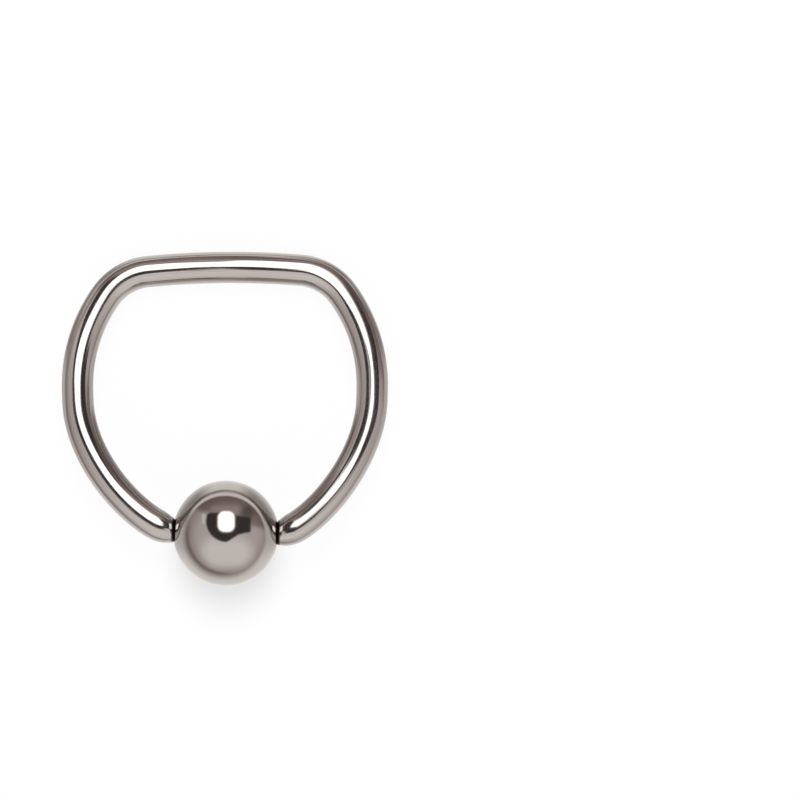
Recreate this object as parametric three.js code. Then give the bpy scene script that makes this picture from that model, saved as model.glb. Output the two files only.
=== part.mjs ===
// Captive bead ring: a ring bent from round wire, and a drilled bead held between its tapered ends.
// Millimetres, +Z up. The ring lies on its side as it does on a table, on its bead and its flat bar.
import * as THREE from "three";

// The wire, and the ring's shape along the middle of the wire. The bar is bowed a little outwards,
// and the outside of each corner stays the shoulder's width inside the ring's widest place.
const wire_diameter = 1.2;
const inner_width = 10.0;
const bar_height = 10.2;
const widest_height = 5.69;
const bar_radius = 32.0;
const corner_radius = 2.2;
const corner_shoulder = 0.69;
const lower_side_radius = 12.0;
const lower_side_sweep = 3.3;

// Each end leaves the round side and curls in to the bead's axis on one smooth curve, whose two pulls
// are shares of the straight way between. The tip is straight, and the last of the wire tapers to it.
const side_pull = 0.4;
const curl_pull = 0.19;
const tip_straight = 0.15;
const end_taper = 1.1;

// The bead, and the two sockets that the tips sit in. The ring is closed by hand, so its right end
// sits a little lower than its left one, and the bead's axis is turned by this much, in degrees.
const bead_diameter = 4.0;
const bead_turn = 2.2;
const seat_depth = 0.35;
const seat_clearance = 0.1;

// How finely the round shapes are divided
const wire_sides = 24;
const bar_spans = 9;
const span_length = 0.42;
const taper_rings = 8;
const bead_segments = 48;
const bead_rings = 22;
const socket_rings = 6;

// Sizes that follow from the ones above
const wire_radius = wire_diameter / 2;
const bead_radius = bead_diameter / 2;
const tip_reach = bead_radius - seat_depth;
const tilt = Math.asin((bead_radius - wire_radius) / bar_height);
const rad = THREE.MathUtils.degToRad;
const vec = (x, y) => new THREE.Vector2(x, y);
const mirror = (v) => vec(-v.x, v.y);

// The centre of an arc that passes point with outward direction out, and has the given radius.
const centre_behind = (point, out, radius) => point.clone().addScaledVector(out, -radius);

// The radius of the arc that passes point with outward direction out and closes smoothly on a
// smaller circle inside it.
function radius_onto_circle(point, out, centre, radius) {
  const reach = point.clone().sub(centre);
  return (reach.lengthSq() - radius * radius) / (2 * (reach.dot(out) - radius));
}

// Half of the ring's middle line, from the middle of the bar to the wire's tip, drawn as a right half:
// four arcs, turning clockwise, the curve of the end and the tip. The bead's middle is the origin, and
// the bar lies towards +Y. Each arc has its centre, its radius and its first and last angle. The turn
// is the angle, in degrees, by which the bead's axis drops on this side.
function half_ring(turn) {
  const half_width = (inner_width + wire_diameter) / 2;
  const bar_centre = vec(0, bar_height - bar_radius);
  const corner_x = half_width - corner_shoulder - corner_radius;
  const bar_angle = Math.acos(corner_x / (bar_radius - corner_radius));
  const bar_out = vec(Math.cos(bar_angle), Math.sin(bar_angle));
  const corner_centre = bar_centre.clone().addScaledVector(bar_out, bar_radius - corner_radius);

  const widest = vec(half_width, widest_height);
  const sideways = vec(1, 0);
  const upper_radius = radius_onto_circle(widest, sideways, corner_centre, corner_radius);
  const upper_centre = centre_behind(widest, sideways, upper_radius);
  const upper_angle = corner_centre.clone().sub(upper_centre).angle();

  const lower_centre = centre_behind(widest, sideways, lower_side_radius);
  const lower_angle = -rad(lower_side_sweep);
  const lower_out = vec(Math.cos(lower_angle), Math.sin(lower_angle));
  const lower_end = lower_centre.clone().addScaledVector(lower_out, lower_side_radius);

  const bead_axis = vec(Math.cos(rad(turn)), -Math.sin(rad(turn)));
  const tip = bead_axis.clone().multiplyScalar(tip_reach);
  const curl_end = bead_axis.clone().multiplyScalar(tip_reach + tip_straight);
  const way = lower_end.distanceTo(curl_end);
  const down_the_side = vec(lower_out.y, -lower_out.x);
  const end_curve = new THREE.CubicBezierCurve(
    lower_end,
    lower_end.clone().addScaledVector(down_the_side, side_pull * way),
    curl_end.clone().addScaledVector(bead_axis, curl_pull * way),
    curl_end,
  );
  const arcs = [
    { centre: bar_centre, radius: bar_radius, first: Math.PI / 2, last: bar_angle },
    { centre: corner_centre, radius: corner_radius, first: bar_angle, last: upper_angle },
    { centre: upper_centre, radius: upper_radius, first: upper_angle, last: 0 },
    { centre: lower_centre, radius: lower_side_radius, first: 0, last: lower_angle },
  ];
  return { arcs, end_curve, tip };
}

// The stations of one half, each with its point, its outward direction and the wire's radius there.
// The bar has an odd number of spans, so that its middle span lies level and the ring rests on it.
function half_stations(turn) {
  const { arcs, end_curve, tip } = half_ring(turn);
  const stations = [];
  arcs.forEach((arc, index) => {
    const is_bar = index === 0;
    const length = arc.radius * (arc.first - arc.last);
    const spans = is_bar ? bar_spans / 2 : Math.ceil(length / span_length);
    for (let step = is_bar ? 0.5 : 1; step < spans + 0.25; step += 1) {
      const angle = arc.first + (arc.last - arc.first) * step / spans;
      const out = vec(Math.cos(angle), Math.sin(angle));
      const point = arc.centre.clone().addScaledVector(out, arc.radius);
      stations.push({ point, out, radius: wire_radius });
    }
  });

  const curl_length = end_curve.getLength();
  const add_station = (from_tip, radius) => {
    const share = Math.min(1, 1 - (from_tip - tip_straight) / curl_length);
    const along = end_curve.getTangentAt(share);
    const past_the_curl = Math.max(0, tip_straight - from_tip);
    const point = end_curve.getPointAt(share).addScaledVector(along, past_the_curl);
    stations.push({ point, out: vec(-along.y, along.x), radius });
  };
  const plain_length = curl_length + tip_straight - end_taper;
  const plain_spans = Math.ceil(plain_length / span_length);
  for (let step = plain_spans - 1; step >= 0; step -= 1) {
    add_station(end_taper + plain_length * step / plain_spans, wire_radius);
  }
  for (let ring = taper_rings - 1; ring > 0; ring -= 1) {
    const angle = ring / taper_rings * Math.PI / 2;
    add_station(end_taper * (1 - Math.cos(angle)), wire_radius * Math.sin(angle));
  }
  return { stations, tip };
}

// The wire as one closed skin, from the left tip over the bar to the right tip: a round section at
// each station, and a point at each tip.
function wire_geometry() {
  const right = half_stations(bead_turn);
  const left = half_stations(-bead_turn);
  const mirrored = left.stations.map((s) => ({ ...s, point: mirror(s.point), out: mirror(s.out) }));
  const rows = [...mirrored.reverse(), ...right.stations];
  const left_tip = mirror(left.tip);

  const positions = [];
  rows.forEach(({ point, out, radius }) => {
    for (let side = 0; side < wire_sides; side += 1) {
      const angle = side / wire_sides * 2 * Math.PI;
      const reach = radius * Math.cos(angle);
      positions.push(point.x + out.x * reach, point.y + out.y * reach, radius * Math.sin(angle));
    }
  });
  const first_tip = positions.length / 3;
  const last_tip = first_tip + 1;
  positions.push(left_tip.x, left_tip.y, 0, right.tip.x, right.tip.y, 0);

  const faces = [];
  for (let side = 0; side < wire_sides; side += 1) {
    const next = (side + 1) % wire_sides;
    faces.push(first_tip, next, side);
    for (let row = 0; row < rows.length - 1; row += 1) {
      const here = row * wire_sides;
      const there = here + wire_sides;
      faces.push(here + side, here + next, there + next, here + side, there + next, there + side);
    }
    const last = (rows.length - 1) * wire_sides;
    faces.push(last_tip, last + side, last + next);
  }
  const geometry = new THREE.BufferGeometry();
  geometry.setAttribute("position", new THREE.Float32BufferAttribute(positions, 3));
  geometry.setIndex(faces);
  geometry.computeVertexNormals();
  return geometry;
}

// The bead as one turned profile about the X axis: a ball with a socket in each side. A socket is the
// oval of the wire's taper with the clearance round it, up to where the oval meets the ball.
function bead_geometry() {
  const oval_x = tip_reach + end_taper;
  const half_long = end_taper + seat_clearance;
  const half_wide = wire_radius + seat_clearance;
  const squeeze = half_wide ** 2 - half_long ** 2;
  const pull = oval_x * half_wide ** 2;
  const rest = (oval_x * half_wide) ** 2 + half_long ** 2 * (bead_radius ** 2 - half_wide ** 2);
  const mouth_x = rest / (pull + Math.sqrt(pull ** 2 - squeeze * rest));
  const mouth_angle = Math.acos(mouth_x / bead_radius);
  const socket_angle = Math.acos((oval_x - mouth_x) / half_long);
  const socket = [];
  for (let ring = 0; ring < socket_rings; ring += 1) {
    const angle = socket_angle * ring / socket_rings;
    socket.push(vec(half_wide * Math.sin(angle), oval_x - half_long * Math.cos(angle)));
  }
  const ball = [];
  for (let ring = 0; ring <= bead_rings; ring += 1) {
    const angle = mouth_angle + (Math.PI - 2 * mouth_angle) * ring / bead_rings;
    ball.push(vec(bead_radius * Math.sin(angle), -bead_radius * Math.cos(angle)));
  }
  const lower_socket = socket.map((p) => vec(p.x, -p.y));
  const profile = [...lower_socket, ...ball, ...[...socket].reverse()];
  return new THREE.LatheGeometry(profile, bead_segments).rotateZ(-Math.PI / 2);
}

const titanium = { color: 0xb3aaa5, roughness: 0.12, metalness: 1.0 };

const wire_ring = new THREE.Mesh(wire_geometry(), new THREE.MeshStandardMaterial(titanium));
wire_ring.name = "wire_ring";

const captive_bead = new THREE.Mesh(bead_geometry(), new THREE.MeshStandardMaterial(titanium));
captive_bead.name = "captive_bead";
captive_bead.rotation.z = -rad(bead_turn);

// The bar leans down from the bead until both touch the table.
const leaning = new THREE.Group();
leaning.add(wire_ring, captive_bead);
leaning.rotation.x = -tilt;
leaning.updateMatrixWorld(true);

// The origin is the middle of the underside of the box round the whole ring.
const box = new THREE.Box3().setFromObject(leaning, true);
leaning.position.set(-(box.min.x + box.max.x) / 2, -(box.min.y + box.max.y) / 2, -box.min.z);

const part = new THREE.Group();
part.add(leaning);

export default part;
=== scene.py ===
# A captive bead ring of polished titanium, lying on its side on a white table as it does when it is
# put down: on the bead at one end and on the flat bar at the other.
from math import acos, asin, atan2, cos, hypot, pi, radians, sin, sqrt, tau

import bpy
from mathutils import Matrix, Vector


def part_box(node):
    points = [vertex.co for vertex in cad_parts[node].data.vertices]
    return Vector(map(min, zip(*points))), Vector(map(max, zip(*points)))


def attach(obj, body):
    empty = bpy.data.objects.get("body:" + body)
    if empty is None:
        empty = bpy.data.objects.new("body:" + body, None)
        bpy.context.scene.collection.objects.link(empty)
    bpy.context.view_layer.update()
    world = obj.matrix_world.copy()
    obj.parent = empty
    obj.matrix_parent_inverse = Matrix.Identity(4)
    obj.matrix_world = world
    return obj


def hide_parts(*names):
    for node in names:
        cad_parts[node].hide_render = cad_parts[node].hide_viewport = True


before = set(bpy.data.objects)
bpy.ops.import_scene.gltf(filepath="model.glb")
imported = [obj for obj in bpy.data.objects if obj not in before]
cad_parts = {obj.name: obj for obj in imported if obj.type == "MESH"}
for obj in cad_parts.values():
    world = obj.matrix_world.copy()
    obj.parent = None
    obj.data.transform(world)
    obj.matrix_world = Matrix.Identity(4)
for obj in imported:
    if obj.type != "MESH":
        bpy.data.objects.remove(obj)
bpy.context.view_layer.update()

MM = 0.001


# The photographer's view: straight down on the table through a long macro lens, with the ring to the
# left of the middle, as the photo has it, and turned by about half a degree.
lens_height = 300.0 * MM
focal_length = 353.8
aim_x, aim_y = 6.6494 * MM, 0.6363 * MM
ring_turn = radians(0.554)

camera_data = bpy.data.cameras.new("macro_camera")
camera_data.lens = focal_length
camera_data.sensor_width = 36.0
camera_data.clip_start = 10.0 * MM
camera_data.clip_end = 10.0
camera = bpy.data.objects.new("macro_camera", camera_data)
camera.location = (aim_x, aim_y, lens_height)
camera.rotation_euler = (0, 0, -ring_turn)
bpy.context.scene.collection.objects.link(camera)
bpy.context.scene.camera = camera


# The wire ring: 1.2 mm (16 gauge) round titanium wire, drawn, cut, its ends ground to a taper, then
# bent on a former to a gently bowed bar, two tight corners and round sides that curl in to the bead.
# It is polished by tumbling, which leaves long faint drawing lines under a mirror finish.
wire_radius = 0.6 * MM
inner_width = 10.0 * MM
widest_height = 5.69 * MM
bar_radius = 32.0 * MM
corner_radius = 2.2 * MM
corner_shoulder = 0.69 * MM
lower_side_radius = 12.0 * MM
lower_side_sweep = radians(3.3)
side_pull = 0.4
curl_pull = 0.19
tip_straight = 0.15 * MM
end_taper = 1.1 * MM
seat_depth = 0.35 * MM
bead_turn = radians(2.2)
wire_sides = 72
wire_step = 0.07 * MM
crowding = 1.6
tip_steps = 10

bead_low, bead_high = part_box("captive_bead")
bead_radius = (bead_high[1] - bead_low[1]) / 2
bead_centre = Vector((0, (bead_low[1] + bead_high[1]) / 2, bead_low[2] + bead_radius))
ring_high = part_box("wire_ring")[1]
bar_height = hypot(ring_high[1] - wire_radius - bead_centre.y, bead_radius - wire_radius)
tip_reach = bead_radius - seat_depth
lean = asin((bead_radius - wire_radius) / bar_height)
lying = Matrix.Translation(bead_centre) @ Matrix.Rotation(-lean, 4, "X")


def arc_points(centre, radius, first, last):
    """Points along an arc from just after its first angle to its last, a wire step apart."""
    steps = max(2, round(radius * (first - last) / wire_step))
    angles = [first + (last - first) * i / steps for i in range(1, steps + 1)]
    return [centre + radius * Vector((cos(angle), sin(angle))) for angle in angles]


def radius_onto_circle(point, out, centre, radius):
    """The radius of the arc through point, facing out, that closes smoothly on a smaller circle inside it."""
    reach = point - centre
    return (reach.length_squared - radius ** 2) / (2 * (reach.dot(out) - radius))


def end_curve(start, start_way, end, end_way):
    """Points of the smooth curve from the side to the bead, closer together towards its end."""
    span = (end - start).length
    knots = (start, start + start_way * side_pull * span, end + end_way * curl_pull * span, end)
    steps = round(crowding * span / wire_step)
    points = []
    for i in range(1, steps + 1):
        t = sin(i / steps * pi / 2)
        shares = ((1 - t) ** 3, 3 * (1 - t) ** 2 * t, 3 * (1 - t) * t ** 2, t ** 3)
        points.append(sum((knot * share for knot, share in zip(knots, shares)), Vector((0, 0))))
    return points


def half_of_the_ring(axis_drop):
    """The wire's middle line from the middle of the bar to the tip, drawn as a right half.

    The axis drop is the angle by which the bead's axis falls away from the bar on this side."""
    half_width = inner_width / 2 + wire_radius
    bar_centre = Vector((0, bar_height - bar_radius))
    bar_angle = acos((half_width - corner_shoulder - corner_radius) / (bar_radius - corner_radius))
    bar_out = Vector((cos(bar_angle), sin(bar_angle)))
    corner_centre = bar_centre + bar_out * (bar_radius - corner_radius)
    widest, sideways = Vector((half_width, widest_height)), Vector((1, 0))
    upper_radius = radius_onto_circle(widest, sideways, corner_centre, corner_radius)
    upper_centre = widest - sideways * upper_radius
    upper_way = corner_centre - upper_centre
    upper_angle = atan2(upper_way.y, upper_way.x)
    lower_centre = widest - sideways * lower_side_radius
    lower_out = Vector((cos(lower_side_sweep), -sin(lower_side_sweep)))
    bead_axis = Vector((cos(axis_drop), -sin(axis_drop)))
    curl_end = bead_axis * (tip_reach + tip_straight)
    line = arc_points(bar_centre, bar_radius, pi / 2, bar_angle)
    line += arc_points(corner_centre, corner_radius, bar_angle, upper_angle)
    line += arc_points(upper_centre, upper_radius, upper_angle, 0)
    line += arc_points(lower_centre, lower_side_radius, 0, -lower_side_sweep)
    line += end_curve(line[-1], Vector((lower_out.y, -lower_out.x)), curl_end, bead_axis)
    for i in range(1, tip_steps + 1):
        line.append(curl_end - bead_axis * tip_straight * sin(i / tip_steps * pi / 2))
    return line


right_half = half_of_the_ring(bead_turn)
left_half = [Vector((-p.x, p.y)) for p in reversed(half_of_the_ring(-bead_turn))]
middle_line = [*left_half, Vector((0, bar_height)), *right_half]
line_mesh = bpy.data.meshes.new("wire_middle_line")
line_edges = [(i, i + 1) for i in range(len(middle_line) - 1)]
line_mesh.from_pydata([(p.x, p.y, 0) for p in middle_line], line_edges, [])
line_object = bpy.data.objects.new("wire_middle_line", line_mesh)
bpy.context.scene.collection.objects.link(line_object)


def add(tree, kind, inputs=None, **settings):
    """Adds a node to a tree with its settings, and its inputs as values or as the sockets to link."""
    node = tree.nodes.new(kind)
    for name, value in settings.items():
        setattr(node, name, value)
    for name, value in (inputs or {}).items():
        if isinstance(value, bpy.types.NodeSocket):
            tree.links.new(value, node.inputs[name])
        else:
            node.inputs[name].default_value = value
    return node


def linear(hex_colour):
    """An sRGB hex colour as linear red, green, blue and alpha."""
    parts = [int(hex_colour[i:i + 2], 16) / 255 for i in (0, 2, 4)]
    return (*[p / 12.92 if p <= 0.04045 else ((p + 0.055) / 1.055) ** 2.4 for p in parts], 1.0)


# Polished Ti-6Al-4V wire: a warm grey metal with a mirror finish from tumbling. The long drawing lines
# of the die and the narrow flats of the polish still show as streaks along it. Up to a hair's breadth
# outside the bead, the seated ends are painted dark as painted shade of the gap at the sockets, and made
# rougher.
# The real lines are a few hundredths of a millimetre wide at most, and are drawn as wide as they
# need to be to show. Lines and flats are stretched along the wire by the shares given.
drawing_line_width = 0.05 * MM
drawing_line_depth = 0.002 * MM
drawing_line_stretch = 50
flat_width = 0.22 * MM
flat_depth = 0.02 * MM
flat_stretch = 20
cloud_size = 1.6 * MM
end_shade_reach, end_shade_fade = 0.07 * MM, 0.06 * MM
# Painted shade: the dark colour laid on the wire's seated ends and inside the bead's sockets.
painted_shade_colour = linear("3a3533")

wire_titanium = bpy.data.materials.new("tumble_polished_titanium_wire")
wire_titanium.use_nodes = True
tree = wire_titanium.node_tree
surface = tree.nodes["Principled BSDF"]
surface.inputs["Metallic"].default_value = 1.0
along = add(tree, "ShaderNodeAttribute", attribute_name="along")
section = add(tree, "ShaderNodeAttribute", attribute_name="section")
split = add(tree, "ShaderNodeSeparateXYZ", {"Vector": section.outputs["Vector"]})
streak_way = add(tree, "ShaderNodeMath", {0: along.outputs["Fac"], 1: 1 / drawing_line_stretch},
                 operation="MULTIPLY")
streak_place = add(tree, "ShaderNodeCombineXYZ", {
    "X": streak_way.outputs[0], "Y": split.outputs["X"], "Z": split.outputs["Y"]})
drawing_lines = add(tree, "ShaderNodeTexNoise", {
    "Vector": streak_place.outputs[0], "Scale": 1 / drawing_line_width, "Detail": 3.0, "Roughness": 0.6})
object_place = add(tree, "ShaderNodeTexCoord")
cloudy = add(tree, "ShaderNodeTexNoise", {
    "Vector": object_place.outputs["Object"], "Scale": 1 / cloud_size, "Detail": 2.0})
roughness = add(tree, "ShaderNodeMapRange", {
    "Value": cloudy.outputs["Fac"], "From Min": 0.3, "From Max": 0.7, "To Min": 0.11, "To Max": 0.17})
tint = add(tree, "ShaderNodeMix", {
    "Factor": drawing_lines.outputs["Fac"], "A": linear("aea7a2"), "B": linear("cac3bd")}, data_type="RGBA")
from_bead = add(tree, "ShaderNodeVectorMath", {0: object_place.outputs["Object"], 1: bead_centre},
                operation="DISTANCE")
# Painted shade: the wire's end, up to a hair's breadth outside the bead, is darkened and made rougher.
end_shade_and_roughness = add(tree, "ShaderNodeMapRange", {
    "Value": from_bead.outputs["Value"], "From Min": bead_radius + end_shade_reach,
    "From Max": bead_radius + end_shade_reach + end_shade_fade, "To Min": 1.0, "To Max": 0.0})
coloured = add(tree, "ShaderNodeMix", {
    "Factor": end_shade_and_roughness.outputs["Result"], "A": tint.outputs["Result"], "B": painted_shade_colour},
    data_type="RGBA")
dulled = add(tree, "ShaderNodeMix", {
    "Factor": end_shade_and_roughness.outputs["Result"], "A": roughness.outputs["Result"], "B": 0.3}, data_type="FLOAT")
tree.links.new(coloured.outputs["Result"], surface.inputs["Base Color"])
tree.links.new(dulled.outputs["Result"], surface.inputs["Roughness"])
flat_way = add(tree, "ShaderNodeMath", {0: along.outputs["Fac"], 1: 1 / flat_stretch}, operation="MULTIPLY")
flat_place = add(tree, "ShaderNodeCombineXYZ", {
    "X": flat_way.outputs[0], "Y": split.outputs["X"], "Z": split.outputs["Y"]})
polished_flats = add(tree, "ShaderNodeTexNoise", {
    "Vector": flat_place.outputs[0], "Scale": 1 / flat_width, "Detail": 1.0})
flat_relief = add(tree, "ShaderNodeBump", {
    "Height": polished_flats.outputs["Fac"], "Strength": 1.0, "Distance": flat_depth})
line_relief = add(tree, "ShaderNodeBump", {
    "Height": drawing_lines.outputs["Fac"], "Strength": 0.5, "Distance": drawing_line_depth,
    "Normal": flat_relief.outputs["Normal"]})
tree.links.new(line_relief.outputs["Normal"], surface.inputs["Normal"])

# The wire is swept along its middle line. Over the taper's length the sweep narrows to each tip.
sweep = bpy.data.node_groups.new("drawn_wire", "GeometryNodeTree")
sweep.is_modifier = True
sweep.interface.new_socket("Middle Line", in_out="INPUT", socket_type="NodeSocketGeometry")
radius_socket = sweep.interface.new_socket("Wire Radius", in_out="INPUT", socket_type="NodeSocketFloat")
taper_socket = sweep.interface.new_socket("Taper Length", in_out="INPUT", socket_type="NodeSocketFloat")
sides_socket = sweep.interface.new_socket("Sides", in_out="INPUT", socket_type="NodeSocketInt")
sweep.interface.new_socket("Wire", in_out="OUTPUT", socket_type="NodeSocketGeometry")
given = add(sweep, "NodeGroupInput")
radius_in = given.outputs["Wire Radius"]
curve = add(sweep, "GeometryNodeMeshToCurve", {"Mesh": given.outputs["Middle Line"]})
place = add(sweep, "GeometryNodeSplineParameter")
whole = add(sweep, "GeometryNodeSplineLength")
to_far_end = add(sweep, "ShaderNodeMath", {0: whole.outputs["Length"], 1: place.outputs["Length"]},
                 operation="SUBTRACT")
to_end = add(sweep, "ShaderNodeMath", {0: place.outputs["Length"], 1: to_far_end.outputs[0]},
             operation="MINIMUM")
into_taper = add(sweep, "ShaderNodeMath", {0: to_end.outputs[0], 1: given.outputs["Taper Length"]},
                 operation="DIVIDE")
up_to_wire = add(sweep, "ShaderNodeMath", {0: into_taper.outputs[0], 1: 1.0}, operation="MINIMUM")
short_of_wire = add(sweep, "ShaderNodeMath", {0: 1.0, 1: up_to_wire.outputs[0]}, operation="SUBTRACT")
squared = add(sweep, "ShaderNodeMath", {0: short_of_wire.outputs[0], 1: short_of_wire.outputs[0]},
              operation="MULTIPLY")
left_over = add(sweep, "ShaderNodeMath", {0: 1.0, 1: squared.outputs[0]}, operation="SUBTRACT")
width_share = add(sweep, "ShaderNodeMath", {0: left_over.outputs[0]}, operation="SQRT")
tapered = add(sweep, "GeometryNodeSetCurveRadius", {
    "Curve": curve.outputs["Curve"], "Radius": width_share.outputs[0]})
marked = add(sweep, "GeometryNodeStoreNamedAttribute", {
    "Geometry": tapered.outputs["Curve"], "Name": "along", "Value": place.outputs["Length"]},
    data_type="FLOAT", domain="POINT")
circle = add(sweep, "GeometryNodeCurvePrimitiveCircle", {
    "Resolution": given.outputs["Sides"], "Radius": radius_in}, mode="RADIUS")
circle_place = add(sweep, "GeometryNodeInputPosition")
marked_circle = add(sweep, "GeometryNodeStoreNamedAttribute", {
    "Geometry": circle.outputs["Curve"], "Name": "section", "Value": circle_place.outputs["Position"]},
    data_type="FLOAT_VECTOR", domain="POINT")
skin = add(sweep, "GeometryNodeCurveToMesh", {
    "Curve": marked.outputs["Geometry"], "Profile Curve": marked_circle.outputs["Geometry"],
    "Scale": width_share.outputs[0]})
closed = add(sweep, "GeometryNodeMergeByDistance", {"Geometry": skin.outputs["Mesh"], "Distance": 0.001 * MM})
smooth = add(sweep, "GeometryNodeSetShadeSmooth", {"Geometry": closed.outputs["Geometry"]})
real = add(sweep, "GeometryNodeRealizeInstances", {"Geometry": smooth.outputs["Geometry"]})
finished = add(sweep, "GeometryNodeSetMaterial", {
    "Geometry": real.outputs["Geometry"], "Material": wire_titanium})
add(sweep, "NodeGroupOutput", {"Wire": finished.outputs["Geometry"]})

modifier = line_object.modifiers.new("drawn_wire", "NODES")
modifier.node_group = sweep
modifier[radius_socket.identifier] = wire_radius
modifier[taper_socket.identifier] = end_taper
modifier[sides_socket.identifier] = wire_sides
swept = line_object.evaluated_get(bpy.context.evaluated_depsgraph_get())
wire_mesh = bpy.data.meshes.new_from_object(swept)
line_object.modifiers.remove(modifier)
bpy.data.objects.remove(line_object)
wire_mesh.transform(lying)
wire = bpy.data.objects.new("polished_wire_ring", wire_mesh)
bpy.context.scene.collection.objects.link(wire)
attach(wire, "ring")
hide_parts("wire_ring")


# The bead: a 4 mm titanium ball, ground round and mirror polished, with an oval socket drilled in each
# side. The wire's tapered ends sit in the sockets, and the ring's spring holds it there.
seat_clearance = 0.1 * MM
rim_round = 0.035 * MM
bead_segments = 256
ball_steps = 120
socket_steps = 16
rim_steps = 6


def bead_profile():
    """The bead's section from the bottom of one socket, round the ball, to the bottom of the other."""
    oval_x = tip_reach + end_taper
    half_long, half_wide = end_taper + seat_clearance, wire_radius + seat_clearance
    squeeze, pull = half_wide ** 2 - half_long ** 2, oval_x * half_wide ** 2
    rest = (oval_x * half_wide) ** 2 + half_long ** 2 * (bead_radius ** 2 - half_wide ** 2)
    mouth_x = rest / (pull + sqrt(pull ** 2 - squeeze * rest))
    socket_angle = acos((oval_x - mouth_x) / half_long) - rim_round / half_long
    socket = []
    for i in range(socket_steps + 1):
        angle = socket_angle * i / socket_steps
        socket.append(Vector((oval_x - half_long * cos(angle), half_wide * sin(angle))))
    ball_angle = acos(mouth_x / bead_radius) + rim_round / bead_radius
    ball = []
    for i in range(ball_steps + 1):
        angle = ball_angle + (pi - 2 * ball_angle) * i / ball_steps
        ball.append(bead_radius * Vector((cos(angle), sin(angle))))
    rim_knot = Vector((mouth_x, sqrt(bead_radius ** 2 - mouth_x ** 2)))
    rim = []
    for i in range(1, rim_steps):
        t = i / rim_steps
        rim.append(socket[-1] * (1 - t) ** 2 + rim_knot * 2 * t * (1 - t) + ball[0] * t ** 2)
    half = socket + rim
    return half + ball + [Vector((-p.x, p.y)) for p in reversed(half)]


profile = bead_profile()
rings = profile[1:-1]
bead_points = [(profile[0][0], 0, 0), (profile[-1][0], 0, 0)]
for x, height in rings:
    bead_points += [(x, height * cos(tau * i / bead_segments), height * sin(tau * i / bead_segments))
                    for i in range(bead_segments)]
bead_faces = []
for i in range(bead_segments):
    j = (i + 1) % bead_segments
    bead_faces.append((0, 2 + i, 2 + j))
    for ring in range(len(rings) - 1):
        here = 2 + ring * bead_segments
        there = here + bead_segments
        bead_faces.append((here + i, there + i, there + j, here + j))
    last = 2 + (len(rings) - 1) * bead_segments
    bead_faces.append((1, last + j, last + i))
bead_mesh = bpy.data.meshes.new("polished_bead")
bead_mesh.from_pydata(bead_points, [], bead_faces)
bead_mesh.polygons.foreach_set("use_smooth", [True] * len(bead_mesh.polygons))
bead_mesh.transform(lying @ Matrix.Rotation(-bead_turn, 4, "Z"))

# Mirror polished Ti-6Al-4V ball: the same warm grey, with faint wheel marks that swirl and a slight
# cloudiness where it was held while it was buffed. The drilled sockets are painted dark inside as painted
# shade, and made rougher.
# The wheel marks are drawn coarser than the real ones, which are too fine to show.
buffing_cloud_size = 1.1 * MM
wheel_mark_width = 0.12 * MM
wheel_mark_depth = 0.002 * MM
socket_shade_depth, socket_shade_fade = 0.05 * MM, 0.03 * MM

bead_titanium = bpy.data.materials.new("mirror_polished_titanium_ball")
bead_titanium.use_nodes = True
tree = bead_titanium.node_tree
surface = tree.nodes["Principled BSDF"]
surface.inputs["Metallic"].default_value = 1.0
object_place = add(tree, "ShaderNodeTexCoord")
cloudy = add(tree, "ShaderNodeTexNoise", {
    "Vector": object_place.outputs["Object"], "Scale": 1 / buffing_cloud_size, "Detail": 2.0,
    "Distortion": 0.4})
wheel_marks = add(tree, "ShaderNodeTexNoise", {
    "Vector": object_place.outputs["Object"], "Scale": 1 / wheel_mark_width, "Detail": 4.0,
    "Distortion": 2.0})
roughness = add(tree, "ShaderNodeMapRange", {
    "Value": cloudy.outputs["Fac"], "From Min": 0.3, "From Max": 0.7, "To Min": 0.06, "To Max": 0.1})
tint = add(tree, "ShaderNodeMix", {
    "Factor": cloudy.outputs["Fac"], "A": linear("bab3ad"), "B": linear("beb7b1")}, data_type="RGBA")
from_middle = add(tree, "ShaderNodeVectorMath", {0: object_place.outputs["Object"], 1: bead_centre},
                  operation="DISTANCE")
# Painted shade: the inside of each socket is darkened and made rougher.
socket_shade_and_roughness = add(tree, "ShaderNodeMapRange", {
    "Value": from_middle.outputs["Value"], "From Min": bead_radius - socket_shade_depth,
    "From Max": bead_radius - socket_shade_depth + socket_shade_fade, "To Min": 1.0, "To Max": 0.0})
coloured = add(tree, "ShaderNodeMix", {
    "Factor": socket_shade_and_roughness.outputs["Result"], "A": tint.outputs["Result"], "B": painted_shade_colour},
    data_type="RGBA")
dulled = add(tree, "ShaderNodeMix", {
    "Factor": socket_shade_and_roughness.outputs["Result"], "A": roughness.outputs["Result"], "B": 0.4}, data_type="FLOAT")
tree.links.new(coloured.outputs["Result"], surface.inputs["Base Color"])
tree.links.new(dulled.outputs["Result"], surface.inputs["Roughness"])
relief = add(tree, "ShaderNodeBump", {
    "Height": wheel_marks.outputs["Fac"], "Strength": 0.15, "Distance": wheel_mark_depth})
tree.links.new(relief.outputs["Normal"], surface.inputs["Normal"])
bead_mesh.materials.append(bead_titanium)

bead = bpy.data.objects.new("polished_bead", bead_mesh)
bpy.context.scene.collection.objects.link(bead)
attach(bead, "bead")
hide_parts("captive_bead")


# The light table: a sheet of white opal acrylic, lit from below so that hardly a shadow shows on it,
# and white paper hung all round it as the backdrop. The metal mirrors the studio and not these two,
# as the photo's white ground was lit apart from the ring.
table_reach = 0.5
table_sides = 96
dome_rings = 16

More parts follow.
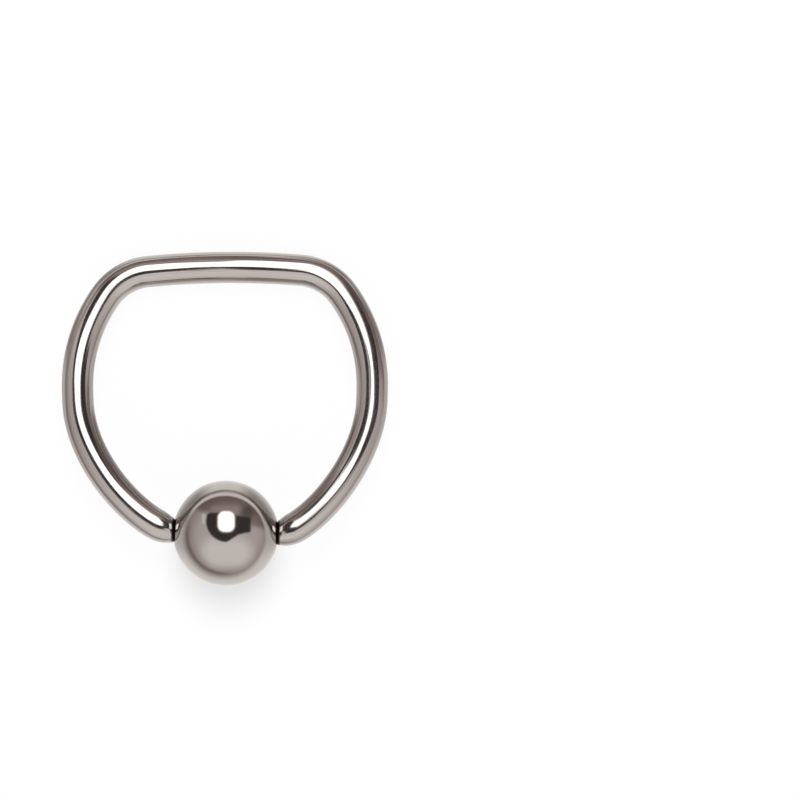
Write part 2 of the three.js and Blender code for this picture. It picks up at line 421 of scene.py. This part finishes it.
stage_points = [(0, 0, 0), (0, 0, table_reach)]
stage_faces = []
for i in range(dome_rings):
    rise = i / dome_rings * pi / 2
    stage_points += [(table_reach * cos(rise) * cos(tau * j / table_sides),
                      table_reach * cos(rise) * sin(tau * j / table_sides),
                      table_reach * sin(rise)) for j in range(table_sides)]
table_mesh = bpy.data.meshes.new("light_table")
table_mesh.from_pydata(stage_points[2:2 + table_sides], [], [tuple(range(table_sides))])
for j in range(table_sides):
    k = (j + 1) % table_sides
    for i in range(dome_rings - 1):
        here, there = 2 + i * table_sides, 2 + (i + 1) * table_sides
        stage_faces.append((here + j, there + j, there + k, here + k))
    top = 2 + (dome_rings - 1) * table_sides
    stage_faces.append((top + j, 1, top + k))
paper_mesh = bpy.data.meshes.new("hung_white_paper")
paper_mesh.from_pydata(stage_points, [], stage_faces)

# Cast opal acrylic, matt and lit through: an even white without gloss, which takes only a faint shade.
acrylic = bpy.data.materials.new("backlit_opal_acrylic")
acrylic.use_nodes = True
surface = acrylic.node_tree.nodes["Principled BSDF"]
surface.inputs["Base Color"].default_value = linear("515151")
surface.inputs["Roughness"].default_value = 0.9
surface.inputs["Specular IOR Level"].default_value = 0.0
surface.inputs["Emission Color"].default_value = linear("ffffff")
surface.inputs["Emission Strength"].default_value = 0.73
table_mesh.materials.append(acrylic)

# Matt white paper, evenly lit from all sides, so that it shows no fold and no shade.
paper = bpy.data.materials.new("matt_white_paper")
paper.use_nodes = True
surface = paper.node_tree.nodes["Principled BSDF"]
surface.inputs["Base Color"].default_value = linear("000000")
surface.inputs["Specular IOR Level"].default_value = 0.0
surface.inputs["Emission Color"].default_value = linear("fafafa")
surface.inputs["Emission Strength"].default_value = 1.0
paper_mesh.materials.append(paper)

table = bpy.data.objects.new("light_table", table_mesh)
backdrop = bpy.data.objects.new("hung_white_paper", paper_mesh)
for sheet in (table, backdrop):
    bpy.context.scene.collection.objects.link(sheet)
    sheet.visible_glossy = False
backdrop.visible_diffuse = False
backdrop.visible_shadow = False

# One broad lamp above the bar lays the bead's faint soft shade on the table below it. The low, thin
# wire hardly shades the lit table, so only the bead blocks this lamp.
lamp_tilt = radians(21)
lamp_data = bpy.data.lights.new("broad_lamp", "SUN")
lamp_data.energy = 8.5
lamp_data.angle = radians(32)
lamp = bpy.data.objects.new("broad_lamp", lamp_data)
lamp.rotation_euler = (-lamp_tilt, 0, 0)
lamp.visible_glossy = False
bpy.context.scene.collection.objects.link(lamp)
shade_makers = bpy.data.collections.new("shade_makers")
shade_makers.objects.link(bead)
lamp.light_linking.blocker_collection = shade_makers


# The studio, as a mirror ball on the table shows it: a pale tent with its round edge low down, white
# ground beyond the edge, one softbox up and behind the lens, and a dark gap in the tent round the
# lens. Each is placed across and up from the ball's middle, as shares of its radius.
world = bpy.data.worlds.new("light_tent")
world.use_nodes = True
bpy.context.scene.world = world
tree = world.node_tree
background = tree.nodes["Background"]
sky = add(tree, "ShaderNodeTexCoord")
split = add(tree, "ShaderNodeSeparateXYZ", {"Vector": sky.outputs["Generated"]})
lifted = add(tree, "ShaderNodeMath", {0: split.outputs["Z"], 1: 2.0, 2: 2.0001}, operation="MULTIPLY_ADD")
spread = add(tree, "ShaderNodeMath", {0: lifted.outputs[0]}, operation="SQRT")
across = add(tree, "ShaderNodeMath", {0: split.outputs["X"], 1: spread.outputs[0]}, operation="DIVIDE")
up = add(tree, "ShaderNodeMath", {0: split.outputs["Y"], 1: spread.outputs[0]}, operation="DIVIDE")
ball = add(tree, "ShaderNodeCombineXYZ", {"X": across.outputs[0], "Y": up.outputs[0], "Z": 0.0})


def soft_edge(value, edge, blur, before, after):
    """A mask that changes from one share to another where the value passes the edge."""
    return add(tree, "ShaderNodeMapRange", {
        "Value": value, "From Min": edge - blur / 2, "From Max": edge + blur / 2,
        "To Min": before, "To Max": after}, interpolation_type="SMOOTHSTEP").outputs["Result"]


def disc(centre, radius, blur):
    """A round patch: 1 inside and 0 outside."""
    reach = add(tree, "ShaderNodeVectorMath", {0: ball.outputs[0], 1: (*centre, 0)}, operation="DISTANCE")
    return soft_edge(reach.outputs["Value"], radius, blur, 1.0, 0.0)


def card(centre, half_size, corner, blur):
    """A rectangular patch with round corners: 1 inside and 0 outside."""
    off = add(tree, "ShaderNodeVectorMath", {0: ball.outputs[0], 1: (*centre, 0)}, operation="SUBTRACT")
    size = add(tree, "ShaderNodeVectorMath", {0: off.outputs[0]}, operation="ABSOLUTE")
    inner = (half_size[0] - corner, half_size[1] - corner, 0)
    over = add(tree, "ShaderNodeVectorMath", {0: size.outputs[0], 1: inner}, operation="SUBTRACT")
    outside = add(tree, "ShaderNodeVectorMath", {0: over.outputs[0], 1: (0, 0, 0)}, operation="MAXIMUM")
    reach = add(tree, "ShaderNodeVectorMath", {0: outside.outputs[0]}, operation="LENGTH")
    return soft_edge(reach.outputs["Value"], corner, blur, 1.0, 0.0)


def beyond(way, edge, blur):
    """A mask of 1 on the far side of a straight edge that crosses the way given."""
    reach = add(tree, "ShaderNodeVectorMath", {0: ball.outputs[0], 1: (*way, 0)}, operation="DOT_PRODUCT")
    return soft_edge(reach.outputs["Value"], edge, blur, 0.0, 1.0)


def both(*masks):
    """The part that all the masks share."""
    shared = masks[0]
    for mask in masks[1:]:
        shared = add(tree, "ShaderNodeMath", {0: shared, 1: mask}, operation="MULTIPLY").outputs[0]
    return shared


def opposite(mask):
    """The part that a mask leaves out."""
    return add(tree, "ShaderNodeMath", {0: 1.0, 1: mask}, operation="SUBTRACT").outputs[0]


def either(first, second):
    """The part that at least one of two masks covers."""
    return add(tree, "ShaderNodeMath", {0: first, 1: second}, operation="MAXIMUM").outputs[0]


def lay(under, mask, colour, strength=1.0, blend="MIX"):
    """Lays a colour, or another layer, over what is there, where its mask is 1."""
    if isinstance(colour, str):
        colour = (*[c * strength for c in linear(colour)[:3]], 1.0)
    return add(tree, "ShaderNodeMix", {"Factor": mask, "A": under, "B": colour},
               data_type="RGBA", blend_type=blend, clamp_result=False).outputs["Result"]


# The white ground beyond the tent: darker close to the tent and to both sides, low down and high up,
# with the tent's hem as a thin dark line on the high side.
tent_middle = (0.0, -0.035)
tent_reach = 0.75
ground = lay(linear("ffffff"), disc((-0.03, -0.08), 0.755, 0.15), "aea9a9")
low_sides = both(beyond((0, 1), -0.35, 0.5), beyond((0, -1), -0.35, 0.5))
ground = lay(ground, low_sides, "dedbdb", blend="MULTIPLY")
high_sides = both(beyond((0, 1), 0.2, 0.2), either(beyond((1, 0), 0.36, 0.4), beyond((-1, 0), 0.4, 0.4)))
high_sides = both(high_sides, opposite(disc((0, 0), 0.78, 0.04)), disc((0, 0), 0.95, 0.18))
ground = lay(ground, high_sides, "aaa6a6", blend="MULTIPLY")
hem = both(disc((0, 0), 0.83, 0.03), beyond((0, 1), 0.3, 0.2))
hem = both(hem, opposite(disc((0, 0), 0.775, 0.03)))
ground = lay(ground, hem, "a49f9f", blend="MULTIPLY")

# The tent: pale cloth with a lighter pool low down, and a warm grey part high up with a paler middle
# and a darker corner. The cloth dims towards its edge, most at a seam low on the left, and a bright
# slit shows at the left.
tent = lay(linear("d7d1d2"), card((0.02, -0.36), (0.46, 0.28), 0.26, 0.34), "ffffff")
tent = lay(tent, beyond((0.284, 0.959), 0.28, 0.14), "9d918e")
tent = lay(tent, card((0.02, 0.44), (0.3, 0.1), 0.1, 0.12), "b2a6a7")
tent = lay(tent, disc((0.42, 0.4), 0.12, 0.2), "6f6766")
dimming = lay(linear("d6d0cf"), disc((0.05, -0.05), 0.65, 0.26), "ffffff")
tent = lay(tent, 1.0, dimming, blend="MULTIPLY")
lower_seam = both(opposite(disc(tent_middle, 0.69, 0.06)), beyond((-0.8, -0.6), 0.45, 0.3))
tent = lay(tent, lower_seam, "d2cccc", blend="MULTIPLY")
tent = lay(tent, card((-0.41, 0.28), (0.03, 0.1), 0.03, 0.05), "f4eeee")

# The dark gap in the tent round the lens, cut off below and above by the cloth's straight edges, and
# the softbox that hangs in it.
gap = either(disc((0.03, 0.234), 0.392, 0.03), card((0.34, 0.17), (0.145, 0.17), 0.06, 0.05))
gap_foot = either(beyond((-0.534, 0.8455), -0.15, 0.03), beyond((-0.1776, 0.984), -0.064, 0.03))
gap_top = both(beyond((0.196, -0.981), -0.441, 0.05), beyond((-0.148, -0.989), -0.371, 0.06))
gap = both(gap, gap_foot, gap_top)
tent = lay(tent, gap, "454144")
tent = lay(tent, card((0.02, 0.228), (0.154, 0.19), 0.12, 0.06), "ffffff", 2.8)

light = lay(ground, disc(tent_middle, tent_reach, 0.04), tent)
tree.links.new(light, background.inputs["Color"])

bpy.context.scene.view_settings.view_transform = "Standard"
